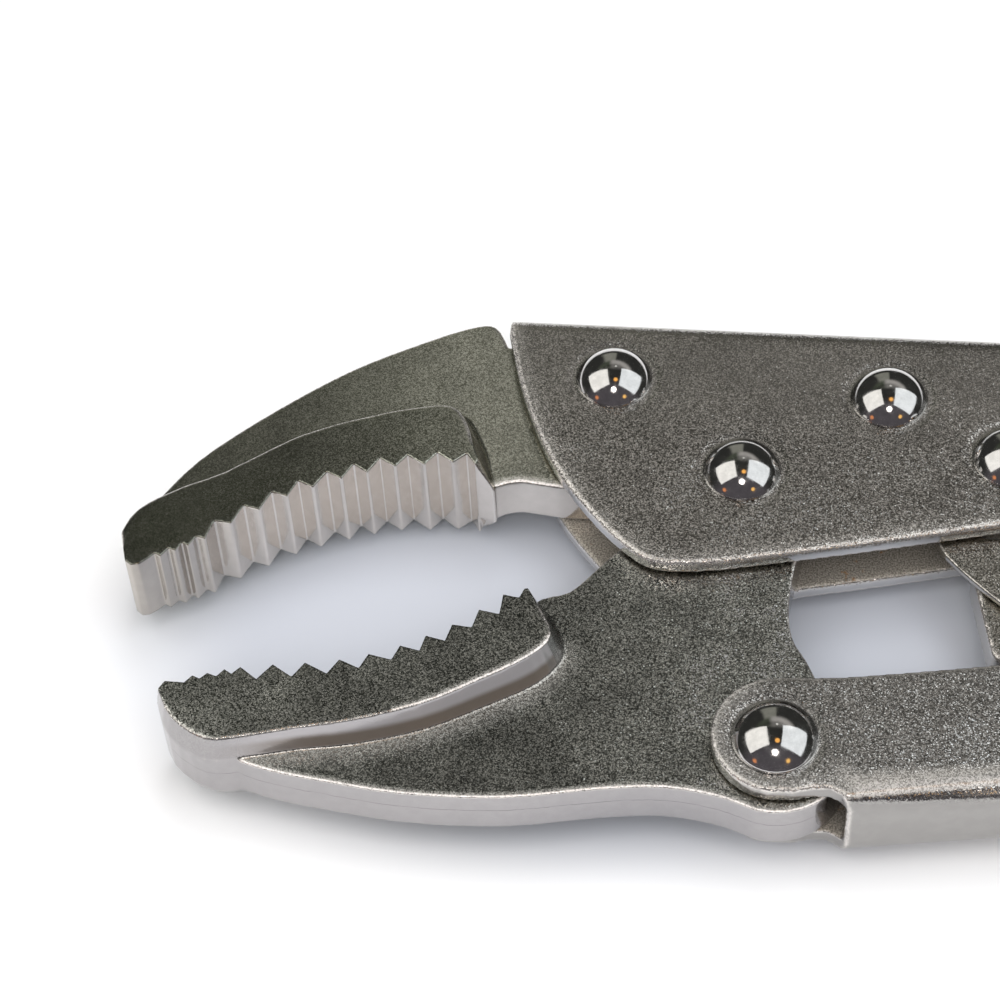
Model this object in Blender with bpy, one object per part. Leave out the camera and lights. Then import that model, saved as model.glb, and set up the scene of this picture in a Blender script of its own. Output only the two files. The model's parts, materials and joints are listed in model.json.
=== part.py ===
"""Locking pliers with curved jaws, about 250 mm long, lying on their side.

X runs from the jaws to the handles, parallel to the back of the upper handle.
Y runs from the lower handle to the upper handle, and Z is the thickness.
All outlines are in millimetres, measured from the main pivot, at mid-thickness.
"""
import math

import bmesh
import bpy
from mathutils import Matrix, Vector

MM = 0.001

# Where the main pivot stands in the part's frame, whose origin is the bottom centre of the box.
MAIN_PIVOT_X = -53.7
MAIN_PIVOT_Y = 11.53
MID_PLANE_Z = 8.7

# Thicknesses
PLATE_HALF = 3.2          # forged jaw plates, half
CHANNEL_HALF = 5.7        # folded handles, half of the outer width
SHEET = 2.2               # sheet of the handles
CHANNEL_INNER = CHANNEL_HALF - SHEET
BEND_RADIUS = 2.9         # outer radius of the folds
JAW_HIGH = (5.6, 7.1)     # upper face of the grip blocks, at their tip and at their root
JAW_LOW = (4.6, 6.8)      # lower face of the grip blocks, below the mid-plane
JAW_ROOT_X = -30.0
JAW_TIP_X = -73.0
GAP = 0.3                 # between pieces that touch
LINK_LOW = -3.1           # toggle link, lower and upper face
LINK_HIGH = 1.8
SIDE_PLATE_HIGH = 3.1     # thin plate on the link, upper face
SIDE_PLATE_LOW = LINK_HIGH + GAP
LEVER_HALF = 2.9          # release lever, half
CUT_REACH = 20.0          # how far a cutter goes to each side of the mid-plane
FOLD_TOLERANCE = 0.01     # how near an edge lies to a fold line that it belongs to

# Pivots and rivets
MAIN_PIVOT = (0.0, 0.0)
HANDLE_PIVOT = (5.3, -37.8)
LINK_PIVOT = (48.0, -19.0)
LEVER_PIVOT = (84.0, -29.5)
JAW_RIVET_FRONT = (-16.3, 13.5)
JAW_RIVET_REAR = (17.4, 12.3)
SPRING_RIVET = (32.1, 3.8)
LINK_PLATE_RIVET = (39.5, -11.5)
SHANK_RADIUS = 3.0
HOLE_RADIUS = SHANK_RADIUS + GAP
SMALL_RIVET_RADIUS = 1.5
HEAD_RADIUS = 4.5
HEAD_HEIGHT = 2.7
INNER_HEAD_RADIUS = 4.0
INNER_HEAD_HEIGHT = 2.0

# Toothed edges from the flat pad at the tip to the root: fine teeth first, then coarse ones
UPPER_GRIP = [(-72.2, -18.0), (-71.4, -18.6), (-70.5, -18.4), (-69.5, -17.5), (-68.9, -16.8), (-68.1, -17.1),
              (-67.3, -16.0), (-66.4, -16.3), (-65.8, -15.1), (-65.0, -15.5), (-64.2, -14.1), (-63.1, -14.4),
              (-62.4, -11.7), (-60.3, -12.0), (-59.2, -9.3), (-57.2, -9.8), (-56.1, -7.1), (-54.1, -7.7),
              (-53.1, -5.3), (-51.2, -6.2), (-49.8, -3.8), (-47.9, -4.8), (-46.7, -2.5), (-44.9, -3.7),
              (-43.6, -1.5), (-41.6, -2.7), (-40.3, -0.9), (-38.1, -2.3), (-36.7, -0.4), (-34.7, -1.8),
              (-33.1, -0.4), (-32.0, -2.0)]
LOWER_GRIP = [(-64.6, -34.9), (-62.3, -35.0), (-61.5, -34.0), (-60.6, -34.4), (-59.8, -33.6), (-58.7, -34.0),
              (-57.9, -33.0), (-57.0, -33.6), (-56.1, -32.6), (-54.0, -34.2), (-52.4, -32.1), (-50.0, -33.7),
              (-48.7, -31.7), (-46.0, -33.1), (-44.8, -31.1), (-42.4, -32.2), (-41.5, -30.2), (-38.8, -30.9),
              (-38.0, -28.9), (-35.7, -29.5), (-35.2, -27.4), (-32.9, -28.0), (-32.3, -25.7), (-30.0, -26.0),
              (-29.4, -23.5), (-27.0, -24.0), (-26.8, -21.2), (-24.9, -21.6), (-24.4, -20.3)]

# Upper handle
NOSE_X = -29.9            # front end of the folded back
BACK_Y = 23.6             # outer face of the back

# Adjusting screw and the boss that it runs in
SCREW_AXIS_Y = 8.0
SCREW_RADIUS = 4.6
BORE_RADIUS = SCREW_RADIUS + 0.4
BOSS_RADIUS = 8.2
BOSS_FRONT_RADIUS = 6.4
BOSS_CHAMFER = 1.2
BORE_START = 117.0
BOSS_START = 138.0
BOSS_END = 155.5
SCREW_TIP_X = 129.6
KNOB_START = 166.5
KNOB_END = 181.0
KNOB_RADIUS = 8.1
KNOB_SOCKET_RADIUS = 2.6
KNOB_SOCKET_DEPTH = 5.0
KNOB_CHAMFER = 1.5
SCREW_END = KNOB_END - KNOB_SOCKET_DEPTH - 2.0
LINK_END_X = 127.8

# Return spring
SPRING_HOOK = (3.9, -8.2)
SPRING_WIRE_RADIUS = 0.55
SPRING_COIL_RADIUS = 2.45
SPRING_TURNS = 9
SPRING_SLOT_HALF = 1.1    # slot in the lower jaw for the straight end of the spring
SPRING_SLOT_LENGTH = 14.0


# ---------------------------------------------------------------- outlines

def arc(center, radius, start, end, count):
    """Points on a circle from one angle to another, in degrees."""
    points = []
    for i in range(count + 1):
        angle = math.radians(start + (end - start) * i / count)
        points.append((center[0] + radius * math.cos(angle), center[1] + radius * math.sin(angle)))
    return points


def spline(knots, steps):
    """A smooth open curve through a few knots, with a number of steps for each span."""
    padded = [knots[0]] + list(knots) + [knots[-1]]
    points = []
    for i in range(1, len(padded) - 2):
        p0, p1, p2, p3 = padded[i - 1:i + 3]
        for step in range(steps):
            t = step / steps
            point = []
            for a, b, c, d in zip(p0, p1, p2, p3):
                curve = 2 * b + (c - a) * t + (2 * a - 5 * b + 4 * c - d) * t * t
                point.append(0.5 * (curve + (3 * b - a - 3 * c + d) * t ** 3))
            points.append(tuple(point))
    points.append(tuple(knots[-1]))
    return points


def rounded(corners, steps=5):
    """A closed outline whose corners (x, y, radius) are rounded where the radius isn't zero."""
    points = []
    count = len(corners)
    for i, (x, y, radius) in enumerate(corners):
        here = Vector((x, y))
        if radius == 0:
            points.append((x, y))
            continue
        before = (Vector(corners[i - 1][:2]) - here).normalized()
        after = (Vector(corners[(i + 1) % count][:2]) - here).normalized()
        half = before.angle(after) / 2
        center = here + (before + after).normalized() * (radius / math.sin(half))
        start = here + before * (radius / math.tan(half)) - center
        end = here + after * (radius / math.tan(half)) - center
        for step in range(steps + 1):
            ray = start.slerp(end, step / steps)
            points.append(tuple(center + ray.normalized() * radius))
    return points


# ---------------------------------------------------------------- meshes and objects

def prism_mesh(outline, low, high):
    """A closed prism between two heights; either height may be a function of x."""
    bm = bmesh.new()
    rings = []
    for height in (low, high):
        rings.append([bm.verts.new((x, y, height(x) if callable(height) else height)) for x, y in outline])
    bm.faces.new(list(reversed(rings[0])))
    bm.faces.new(rings[1])
    count = len(outline)
    for i in range(count):
        j = (i + 1) % count
        bm.faces.new((rings[0][i], rings[0][j], rings[1][j], rings[1][i]))
    return finish_mesh(bm)


def stack_mesh(rings):
    """A closed solid through rings of equal size, given from low to high."""
    bm = bmesh.new()
    levels = [[bm.verts.new(point) for point in ring] for ring in rings]
    bm.faces.new(list(reversed(levels[0])))
    bm.faces.new(levels[-1])
    count = len(rings[0])
    for lower, upper in zip(levels, levels[1:]):
        for i in range(count):
            j = (i + 1) % count
            bm.faces.new((lower[i], lower[j], upper[j], upper[i]))
    return finish_mesh(bm)


def turned_mesh(profile, segments):
    """A solid turned about Z from (radius, height) points that start and end on the axis."""
    bm = bmesh.new()
    rings = []
    for radius, height in profile:
        if radius == 0:
            rings.append([bm.verts.new((0, 0, height))])
            continue
        ring = []
        for i in range(segments):
            angle = math.tau * i / segments
            ring.append(bm.verts.new((radius * math.cos(angle), radius * math.sin(angle), height)))
        rings.append(ring)
    for lower, upper in zip(rings, rings[1:]):
        for i in range(segments):
            j = (i + 1) % segments
            corners = [lower[i % len(lower)], lower[j % len(lower)]]
            corners += [upper[j % len(upper)], upper[i % len(upper)]]
            unique = [v for k, v in enumerate(corners) if v not in corners[:k]]
            bm.faces.new(unique)
    return finish_mesh(bm)


def tube_mesh(path, radius, sides):
    """A closed tube with flat ends along a path of points."""
    bm = bmesh.new()
    rings = []
    normal = (Vector(path[1]) - Vector(path[0])).orthogonal()
    for i, point in enumerate(path):
        before = Vector(path[max(i - 1, 0)])
        after = Vector(path[min(i + 1, len(path) - 1)])
        tangent = (after - before).normalized()
        normal = (normal - tangent * normal.dot(tangent)).normalized()
        side = tangent.cross(normal)
        ring = []
        for k in range(sides):
            angle = math.tau * k / sides
            offset = normal * math.cos(angle) + side * math.sin(angle)
            ring.append(bm.verts.new(Vector(point) + offset * radius))
        rings.append(ring)
    bm.faces.new(list(reversed(rings[0])))
    bm.faces.new(rings[-1])
    for lower, upper in zip(rings, rings[1:]):
        for k in range(sides):
            j = (k + 1) % sides
            bm.faces.new((lower[k], lower[j], upper[j], upper[k]))
    return finish_mesh(bm)


def finish_mesh(bm):
    """Faces outward, as seen from outside the closed solid."""
    bmesh.ops.recalc_face_normals(bm, faces=bm.faces)
    return bm


def round_folds(bm, fold, radius, segments):
    """Round the long edges that follow a fold line, which is given by its points."""
    def on_fold(co):
        return any(math.hypot(co.x - x, co.y - y) < FOLD_TOLERANCE for x, y in fold)
    edges = []
    for edge in bm.edges:
        a, b = edge.verts
        if on_fold(a.co) and on_fold(b.co) and abs(a.co.z - b.co.z) < FOLD_TOLERANCE:
            edges.append(edge)
    bmesh.ops.bevel(bm, geom=edges, offset=radius, segments=segments, profile=0.5, affect='EDGES')
    return bm


def metal(name, color, roughness):
    """A plain metal finish."""
    material = bpy.data.materials.new(name)
    material.use_nodes = True
    shader = material.node_tree.nodes["Principled BSDF"]
    shader.inputs["Base Color"].default_value = (*color, 1.0)
    shader.inputs["Metallic"].default_value = 1.0
    shader.inputs["Roughness"].default_value = roughness
    material.diffuse_color = (*color, 1.0)
    return material


def add_object(name, bm, parent, pivot=(0.0, 0.0, 0.0), material=None):
    """Turn a mesh in millimetres into an object in metres, with its origin on the pivot."""
    mesh = bpy.data.meshes.new(name)
    origin = Vector(pivot)
    bm.transform(Matrix.Scale(MM, 4) @ Matrix.Translation(-origin))
    bm.to_mesh(mesh)
    bm.free()
    part = bpy.data.objects.new(name, mesh)
    bpy.context.scene.collection.objects.link(part)
    part.parent = parent
    part.location = origin * MM
    if material:
        mesh.materials.append(material)
    return part


def add_tool(name, bm, parent):
    """A cutter or a body to be joined on, which is no part of its own."""
    tool = add_object(name, bm, parent)
    tool.hide_render = True
    tool.display_type = 'WIRE'
    return tool


def combine(part, tools, operation):
    """Boolean modifiers, one for each tool."""
    for tool in tools:
        modifier = part.modifiers.new(tool.name, 'BOOLEAN')
        modifier.operation = operation
        modifier.solver = 'EXACT'
        modifier.object = tool


def hole(name, center, parent, radius=HOLE_RADIUS):
    """A round cutter through the whole thickness."""
    outline = arc(center, radius, 0, 360, 24)[:-1]
    return add_tool(name, prism_mesh(outline, -CUT_REACH, CUT_REACH), parent)


def smooth(part, angle=35):
    """Smooth shading with crisp edges."""
    part.data.shade_smooth()
    part.data.set_sharp_from_angle(angle=math.radians(angle))


# ---------------------------------------------------------------- jaws

def block_face(x, reach):
    """Distance of a grip block's face from the mid-plane; the blocks are thinner towards the tip."""
    share = (x - JAW_TIP_X) / (JAW_ROOT_X - JAW_TIP_X)
    return reach[0] + (reach[1] - reach[0]) * share


def block_mesh(grip, back, foot):
    """A grip block: the toothed edge is square, and the back edge slopes out to its foot."""
    top = grip + back
    base = grip + foot
    rings = [
        [(x, y, -block_face(x, JAW_LOW)) for x, y in top],
        [(x, y, -PLATE_HALF) for x, y in base],
        [(x, y, PLATE_HALF) for x, y in base],
        [(x, y, block_face(x, JAW_HIGH)) for x, y in top],
    ]
    return stack_mesh(rings)


def upper_jaw(parent, material):
    """The fixed jaw: a toothed block on a plate whose tang goes into the upper handle."""
    back = spline([(-31.7, -1.1), (-32.6, 1.2), (-33.6, 4.3), (-35.2, 6.6), (-38.0, 7.0), (-45.0, 5.3),
                   (-53.8, 1.8), (-62.2, -4.1), (-68.0, -7.1), (-72.0, -10.2), (-73.5, -13.6)], 3)
    foot = spline([(-29.6, -3.1), (-30.6, 0.6), (-32.4, 4.9), (-34.4, 7.9), (-37.8, 8.2), (-44.6, 6.4),
                   (-53.2, 2.9), (-61.6, -3.0), (-67.3, -6.5), (-71.9, -9.8), (-73.6, -13.6)], 3)
    part = add_object("upper_jaw", block_mesh(UPPER_GRIP, back, foot), parent, material=material)
    outer = spline([(-71.0, -7.8), (-66.4, -0.4), (-58.7, 7.4), (-49.6, 14.9), (-41.3, 19.9),
                    (-35.0, 23.0), (-31.9, 23.2), (-30.0, 19.8)], 4)
    under = arc((0, 0), 10.2, 8, 158, 11)
    plate = outer + [(-26.0, 20.8), (14.0, 20.8)] + arc(JAW_RIVET_REAR, 7.0, 70, -60, 6)
    plate += [(14.0, 5.2)] + under
    plate += [(-16.5, -2.0), (-21.8, -2.0), (-26.7, -1.4), (-28.4, -1.8), (-30.2, -2.7), (-33.0, 0.5)]
    plate += [(-44.0, -0.5), (-54.0, -4.8), (-66.0, -13.5)]
    tang = add_tool("upper_jaw_plate", prism_mesh(plate, -PLATE_HALF, PLATE_HALF), parent)
    holes = [hole("jaw_hole_front", JAW_RIVET_FRONT, parent), hole("jaw_hole_rear", JAW_RIVET_REAR, parent)]
    combine(part, [tang], 'UNION')
    combine(part, holes, 'DIFFERENCE')
    return part


def lower_jaw(parent, material):
    """The moving jaw: a toothed block on a plate that reaches both pivots."""
    grip = list(reversed(LOWER_GRIP))
    back = spline([(-65.2, -36.0), (-63.1, -39.7), (-58.8, -42.4), (-54.7, -42.0), (-48.6, -40.6),
                   (-42.5, -39.3), (-34.8, -36.7), (-28.4, -33.1), (-23.0, -29.6), (-20.8, -26.6),
                   (-22.4, -23.0), (-24.0, -20.2)], 3)
    foot = spline([(-65.6, -36.2), (-63.6, -40.5), (-59.0, -43.5), (-54.5, -43.0), (-48.3, -41.5),
                   (-42.1, -40.4), (-34.4, -37.9), (-27.9, -34.4), (-22.0, -30.7), (-19.4, -26.6),
                   (-20.8, -22.6), (-23.0, -19.4)], 3)
    part = add_object("lower_jaw", block_mesh(grip, back, foot), parent, material=material)
    plate = spline([(-56.0, -41.0), (-55.8, -43.0), (-51.3, -44.5), (-44.9, -45.5), (-36.2, -46.5),
                    (-25.0, -46.3), (-13.9, -44.4), (-7.0, -43.7), (-1.2, -44.4), (2.2, -45.5)], 3)
    plate += arc(HANDLE_PIVOT, 8.4, 258, 398, 12)
    plate += spline([(10.4, -29.5), (8.6, -25.6), (6.8, -22.3), (6.3, -17.4), (7.0, -11.3), (8.4, -4.0)], 3)
    plate += arc(MAIN_PIVOT, 9.3, 0, 165, 12)
    plate += spline([(-10.6, -4.5), (-13.0, -9.4), (-16.1, -13.4), (-19.4, -17.4), (-22.6, -18.7),
                     (-26.0, -22.5)], 3)
    plate += [(-32.0, -27.5), (-42.0, -32.5), (-54.0, -36.0), (-58.5, -38.0)]
    body = add_tool("lower_jaw_plate", prism_mesh(plate, -PLATE_HALF, PLATE_HALF), parent)
    holes = [hole("main_hole", MAIN_PIVOT, parent), hole("handle_hole", HANDLE_PIVOT, parent)]
    holes.append(hole("spring_hole", SPRING_HOOK, parent, 1.2))
    along = (Vector(SPRING_RIVET) - Vector(SPRING_HOOK)).normalized()
    across = Vector((-along.y, along.x)) * SPRING_SLOT_HALF
    near = Vector(SPRING_HOOK)
    far = near + along * SPRING_SLOT_LENGTH
    slot = prism_mesh([near - across, far - across, far + across, near + across],
                      -SPRING_SLOT_HALF, SPRING_SLOT_HALF)
    holes.append(add_tool("spring_slot", slot, parent))
    combine(part, [body], 'UNION')
    combine(part, holes, 'DIFFERENCE')
    return part


# ---------------------------------------------------------------- handles

def upper_handle(parent, material):
    """The fixed handle: a folded channel, open downward, with a threaded boss at its rear."""
    back = [(NOSE_X, BACK_Y), (74.0, BACK_Y)]
    back += spline([(92.0, 23.0), (112.0, 21.2), (130.0, 18.4), (143.0, 16.2)], 3)
    front = spline([(NOSE_X, 20.4), (-27.2, 10.1), (-22.6, -0.6), (-16.4, -9.0), (-12.0, -13.1)], 4)
    nose = [(-10.4, -14.0), (-8.0, -14.4), (-5.0, -14.2)]
    belly = spline([(-1.6, -13.7), (14.1, -10.3), (30.6, -6.4), (46.0, -3.0), (64.0, -1.2), (96.0, -0.9),
                    (143.0, -0.4)], 4)
    outline = front + nose + belly + list(reversed(back))
    shell = prism_mesh(outline, -CHANNEL_HALF, CHANNEL_HALF)
    round_folds(shell, back, BEND_RADIUS, 5)
    part = add_object("upper_handle", shell, parent, material=material)
    inside_back = [(x, y - SHEET) for x, y in back if x < BOSS_START]
    cavity = [(-40.0, -30.0), (BOSS_START + 2, -30.0), (BOSS_START + 2, 14.2)]
    cavity += list(reversed(inside_back)) + [(-40.0, BACK_Y - SHEET)]
    inside = add_tool("upper_cavity", prism_mesh(cavity, -CHANNEL_INNER, CHANNEL_INNER), parent)
    profile = [(0, BOSS_START + 2.3), (BOSS_FRONT_RADIUS, BOSS_START + 2.3), (BOSS_RADIUS, BOSS_START + 5.5),
               (BOSS_RADIUS, BOSS_END - BOSS_CHAMFER), (BOSS_RADIUS - BOSS_CHAMFER, BOSS_END), (0, BOSS_END)]
    boss = add_tool("boss", along_screw(turned_mesh(profile, 32)), parent)
    profile = [(0, BORE_START), (BORE_RADIUS, BORE_START), (BORE_RADIUS, BOSS_END + 5), (0, BOSS_END + 5)]
    bore = add_tool("screw_bore", along_screw(turned_mesh(profile, 24)), parent)
    holes = []
    for name, center in (("hole_a", JAW_RIVET_FRONT), ("hole_b", MAIN_PIVOT), ("hole_c", JAW_RIVET_REAR),
                         ("hole_d", SPRING_RIVET)):
        holes.append(hole(name, center, parent))
    combine(part, [inside], 'DIFFERENCE')
    combine(part, [boss], 'UNION')
    combine(part, [bore] + holes, 'DIFFERENCE')
    return part


def lower_handle(parent, material):
    """The moving handle: a folded channel, open upward, with ears round its two pivots."""
    web = [(13.8, -45.8)] + spline([(31.0, -43.6), (60.0, -40.8), (95.0, -39.4), (125.0, -40.6),
                                    (149.0, -44.2)], 4)
    ear = arc((5.7, -37.3), 7.7, 100, 262, 14)
    notch = [(7.6, -44.8), (9.8, -44.2), (11.6, -44.1), (12.8, -44.7)]
    tail = [(151.2, -43.6), (152.6, -41.2), (152.8, -37.6), (151.0, -30.4), (149.0, -27.6), (145.0, -25.6)]
    top = spline([(140.0, -24.2), (122.0, -21.8), (100.0, -20.8), (76.0, -21.2), (66.0, -20.4)], 3)
    hump = [(59.0, -16.6)] + arc(LINK_PIVOT, 7.4, 50, 128, 6) + [(38.4, -19.6), (35.0, -23.6)]
    front = spline([(31.6, -26.0), (24.7, -27.2), (13.4, -29.0), (8.8, -29.4)], 2)
    outline = ear + notch + web + tail + top + hump + front
    shell = prism_mesh(outline, -CHANNEL_HALF, CHANNEL_HALF)
    round_folds(shell, web, BEND_RADIUS, 5)
    part = add_object("lower_handle", shell, parent, pivot=(*HANDLE_PIVOT, 0.0), material=material)
    cavity = [(-20.0, -60.0), (13.0, -60.0), (13.5, -43.6)] + [(x, y + SHEET) for x, y in web[1:]]
    cavity += [(160.0, -43.0), (160.0, 0.0), (-20.0, 0.0)]
    inside = add_tool("lower_cavity", prism_mesh(cavity, -CHANNEL_INNER, CHANNEL_INNER), parent)
    holes = []
    for name, center in (("hole_e", HANDLE_PIVOT), ("hole_link", LINK_PIVOT), ("hole_lever", LEVER_PIVOT)):
        holes.append(hole(name, center, parent))
    combine(part, [inside] + holes, 'DIFFERENCE')
    return part


# ---------------------------------------------------------------- toggle and release

def toggle_link(parent, material):
    """The bar from the lower handle to the end of the screw, with a square nose in front."""
    tip = arc((LINK_END_X - 4.2, 6.6), 4.2, -60, 95, 8)
    outline = rounded([(27.3, -9.0, 1.5), (29.9, -22.6, 1.2), (40.0, -25.6, 3.0), (50.0, -27.0, 5.0),
                       (60.0, -19.4, 6.0), (90.0, -9.6, 0), (110.0, -2.4, 0)]
                      + [(x, y, 0) for x, y in tip]
                      + [(112.0, 7.4, 0), (88.0, -0.6, 0), (64.0, -8.4, 8.0), (46.0, -9.6, 4.0)])
    bar = prism_mesh(outline, LINK_LOW, LINK_HIGH)
    part = add_object("toggle_link", bar, parent, pivot=(*LINK_PIVOT, 0.0), material=material)
    holes = [hole("link_hole", LINK_PIVOT, parent)]
    holes.append(hole("plate_rivet_hole", LINK_PLATE_RIVET, parent, SMALL_RIVET_RADIUS + GAP))
    combine(part, holes, 'DIFFERENCE')
    return part


def link_side_plate(parent, material):
    """A thin plate on the near side of the link."""
    edge = spline([(23.3, -6.9), (24.5, -9.4), (27.9, -13.1), (30.9, -15.9), (37.0, -21.4)], 2)
    outline = edge + arc(LINK_PIVOT, 6.6, 225, 400, 12) + [(46.0, -9.2), (34.0, -6.6), (25.0, -6.0)]
    plate = prism_mesh(outline, SIDE_PLATE_LOW, SIDE_PLATE_HIGH)
    part = add_object("link_side_plate", plate, parent, pivot=(*LINK_PIVOT, 0.0), material=material)
    holes = [hole("side_hole", LINK_PIVOT, parent)]
    holes.append(hole("side_rivet_hole", LINK_PLATE_RIVET, parent, SMALL_RIVET_RADIUS + GAP))
    combine(part, holes, 'DIFFERENCE')
    return part


def release_lever(parent, material):
    """The lever that prises the link off its locked place."""
    outline = rounded([(63.2, -21.4, 1.2), (64.6, -25.4, 1.5), (77.0, -34.0, 4.0), (88.0, -35.6, 5.0),
                       (118.0, -30.4, 30.0), (137.0, -24.2, 8.0), (149.4, -20.4, 4.0), (152.4, -13.6, 1.4),
                       (147.8, -13.8, 1.4), (144.0, -18.2, 6.0), (124.0, -23.6, 20.0), (96.0, -26.6, 12.0),
                       (84.0, -22.6, 6.0)])
    lever = prism_mesh(outline, -LEVER_HALF, LEVER_HALF)
    part = add_object("release_lever", lever, parent, pivot=(*LEVER_PIVOT, 0.0), material=material)
    combine(part, [hole("lever_hole", LEVER_PIVOT, parent)], 'DIFFERENCE')
    return part


# ---------------------------------------------------------------- rivets, screw and spring

def rivet(name, center, parent, material, head_radius=HEAD_RADIUS, head_height=HEAD_HEIGHT):
    """A round rivet with a domed head on each side of the channel."""
    base = CHANNEL_HALF + GAP
    head = []
    for step in range(5):
        angle = math.radians(90 * step / 5)
        head.append((head_radius * math.cos(angle), base + head_height * math.sin(angle)))
    head.append((0, base + head_height))
    upper = [(SHANK_RADIUS, base)] + head
    lower = [(radius, -height) for radius, height in reversed(upper)]
    bm = turned_mesh(lower + upper, 20)
    bm.transform(Matrix.Translation((*center, 0.0)))
    part = add_object(name, bm, parent, pivot=(*center, 0.0), material=material)
    smooth(part)
    return part


def flush_rivet(name, center, parent, material):
    """A small rivet, level with both faces, that holds the side plate on the link."""
    outline = arc(center, SMALL_RIVET_RADIUS, 0, 360, 16)[:-1]
    bm = prism_mesh(outline, LINK_LOW, SIDE_PLATE_HIGH)
    part = add_object(name, bm, parent, pivot=(*center, 0.0), material=material)
    smooth(part)
    return part


def along_screw(bm):
    """Turn a solid from the Z axis onto the screw's axis."""
    bm.transform(Matrix.Translation((0, SCREW_AXIS_Y, 0)) @ Matrix.Rotation(math.radians(90), 4, 'Y'))
    return bm


def adjusting_screw(parent, material):
    """The threaded rod, with a rounded end for the link to bear on."""
    profile = [(0, SCREW_TIP_X), (2.6, SCREW_TIP_X + 0.5), (SCREW_RADIUS, SCREW_TIP_X + 2.4)]
    profile += [(SCREW_RADIUS, SCREW_END), (0, SCREW_END)]
    bm = along_screw(turned_mesh(profile, 24))
    part = add_object("adjusting_screw", bm, parent, pivot=(SCREW_TIP_X, SCREW_AXIS_Y, 0), material=material)
    smooth(part)
    return part


def screw_knob(parent, material):
    """The round knob on the rod, with a socket in its end."""
    inner = SCREW_RADIUS + GAP
    bottom = SCREW_END + GAP
    profile = [(0, bottom), (inner, bottom), (inner, KNOB_START)]
    profile += [(KNOB_RADIUS - KNOB_CHAMFER, KNOB_START), (KNOB_RADIUS, KNOB_START + KNOB_CHAMFER)]
    profile += [(KNOB_RADIUS, KNOB_END - KNOB_CHAMFER), (KNOB_RADIUS - KNOB_CHAMFER, KNOB_END)]
    profile += [(KNOB_SOCKET_RADIUS, KNOB_END), (KNOB_SOCKET_RADIUS, KNOB_END - KNOB_SOCKET_DEPTH)]
    profile += [(0, KNOB_END - KNOB_SOCKET_DEPTH)]
    bm = along_screw(turned_mesh(profile, 32))
    pivot = (KNOB_START, SCREW_AXIS_Y, 0)
    part = add_object("screw_knob", bm, parent, pivot=pivot, material=material)
    smooth(part)
    return part


def tension_spring(parent, material):
    """The spring that pulls the lower jaw open, hooked to the jaw and round the rear rivet."""
    start = Vector((*SPRING_HOOK, 0.0))
    anchor = Vector((*SPRING_RIVET, 0.0))
    along = (anchor - start).normalized()
    across = Vector((-along.y, along.x, 0.0))
    up = Vector((0, 0, 1))
    reach = (anchor - start).length
    coil_start = reach * 0.45
    coil_end = reach - 6.2
    path = [start - up * 2.6, start - up * 0.6, start + along * 1.2, start + along * (coil_start - 2.0)]
    steps = SPRING_TURNS * 12
    for i in range(steps + 1):
        angle = math.tau * i / 12
        place = start + along * (coil_start + (coil_end - coil_start) * i / steps)
        place += (across * math.sin(angle) + up * math.cos(angle)) * SPRING_COIL_RADIUS
        path.append(place)
    loop = SHANK_RADIUS + SPRING_WIRE_RADIUS + GAP
    for degrees in range(200, -41, -30):
        angle = math.radians(degrees)
        path.append(anchor + (along * math.cos(angle) + across * math.sin(angle)) * loop)
    bm = tube_mesh(path, SPRING_WIRE_RADIUS, 6)
    part = add_object("tension_spring", bm, parent, pivot=(*SPRING_RIVET, 0.0), material=material)
    smooth(part, 60)
    return part


# ---------------------------------------------------------------- assembly

def main():
    for old in list(bpy.data.objects):
        bpy.data.objects.remove(old, do_unlink=True)
    frame = bpy.data.objects.new("pliers_frame", None)
    bpy.context.scene.collection.objects.link(frame)
    frame.location = Vector((MAIN_PIVOT_X, MAIN_PIVOT_Y, MID_PLANE_Z)) * MM

    forged = metal("forged_jaw", (0.42, 0.41, 0.38), 0.42)
    sheet = metal("plated_sheet", (0.50, 0.48, 0.45), 0.36)
    polished = metal("polished_rivet", (0.62, 0.61, 0.60), 0.08)
    stamped = metal("stamped_link", (0.44, 0.43, 0.41), 0.40)
    turned = metal("turned_screw", (0.55, 0.54, 0.52), 0.25)
    wire = metal("spring_wire", (0.40, 0.39, 0.38), 0.30)

    upper_handle(frame, sheet)
    upper_jaw(frame, forged)
    lower_jaw(frame, forged)
    lower_handle(frame, sheet)
    toggle_link(frame, stamped)
    link_side_plate(frame, stamped)
    release_lever(frame, stamped)
    rivet("jaw_rivet_front", JAW_RIVET_FRONT, frame, polished)
    rivet("jaw_rivet_rear", JAW_RIVET_REAR, frame, polished)
    rivet("main_pivot_rivet", MAIN_PIVOT, frame, polished)
    rivet("spring_anchor_rivet", SPRING_RIVET, frame, polished)
    rivet("handle_pivot_rivet", HANDLE_PIVOT, frame, polished)
    rivet("link_pivot_rivet", LINK_PIVOT, frame, polished, INNER_HEAD_RADIUS, INNER_HEAD_HEIGHT)
    rivet("lever_pivot_rivet", LEVER_PIVOT, frame, polished, INNER_HEAD_RADIUS, INNER_HEAD_HEIGHT)
    flush_rivet("link_plate_rivet", LINK_PLATE_RIVET, frame, stamped)
    adjusting_screw(frame, turned)
    screw_knob(frame, turned)
    tension_spring(frame, wire)


main()
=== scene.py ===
"""Looks of the locking pliers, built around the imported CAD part.

Lengths are in millimetres from the main pivot at mid-thickness, as in the part's own drawings,
and go into the row frame in metres at the very end.
"""

import json
import math

import bmesh
import bpy
import numpy as np
from mathutils import Matrix, Vector
from mathutils.kdtree import KDTree


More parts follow.
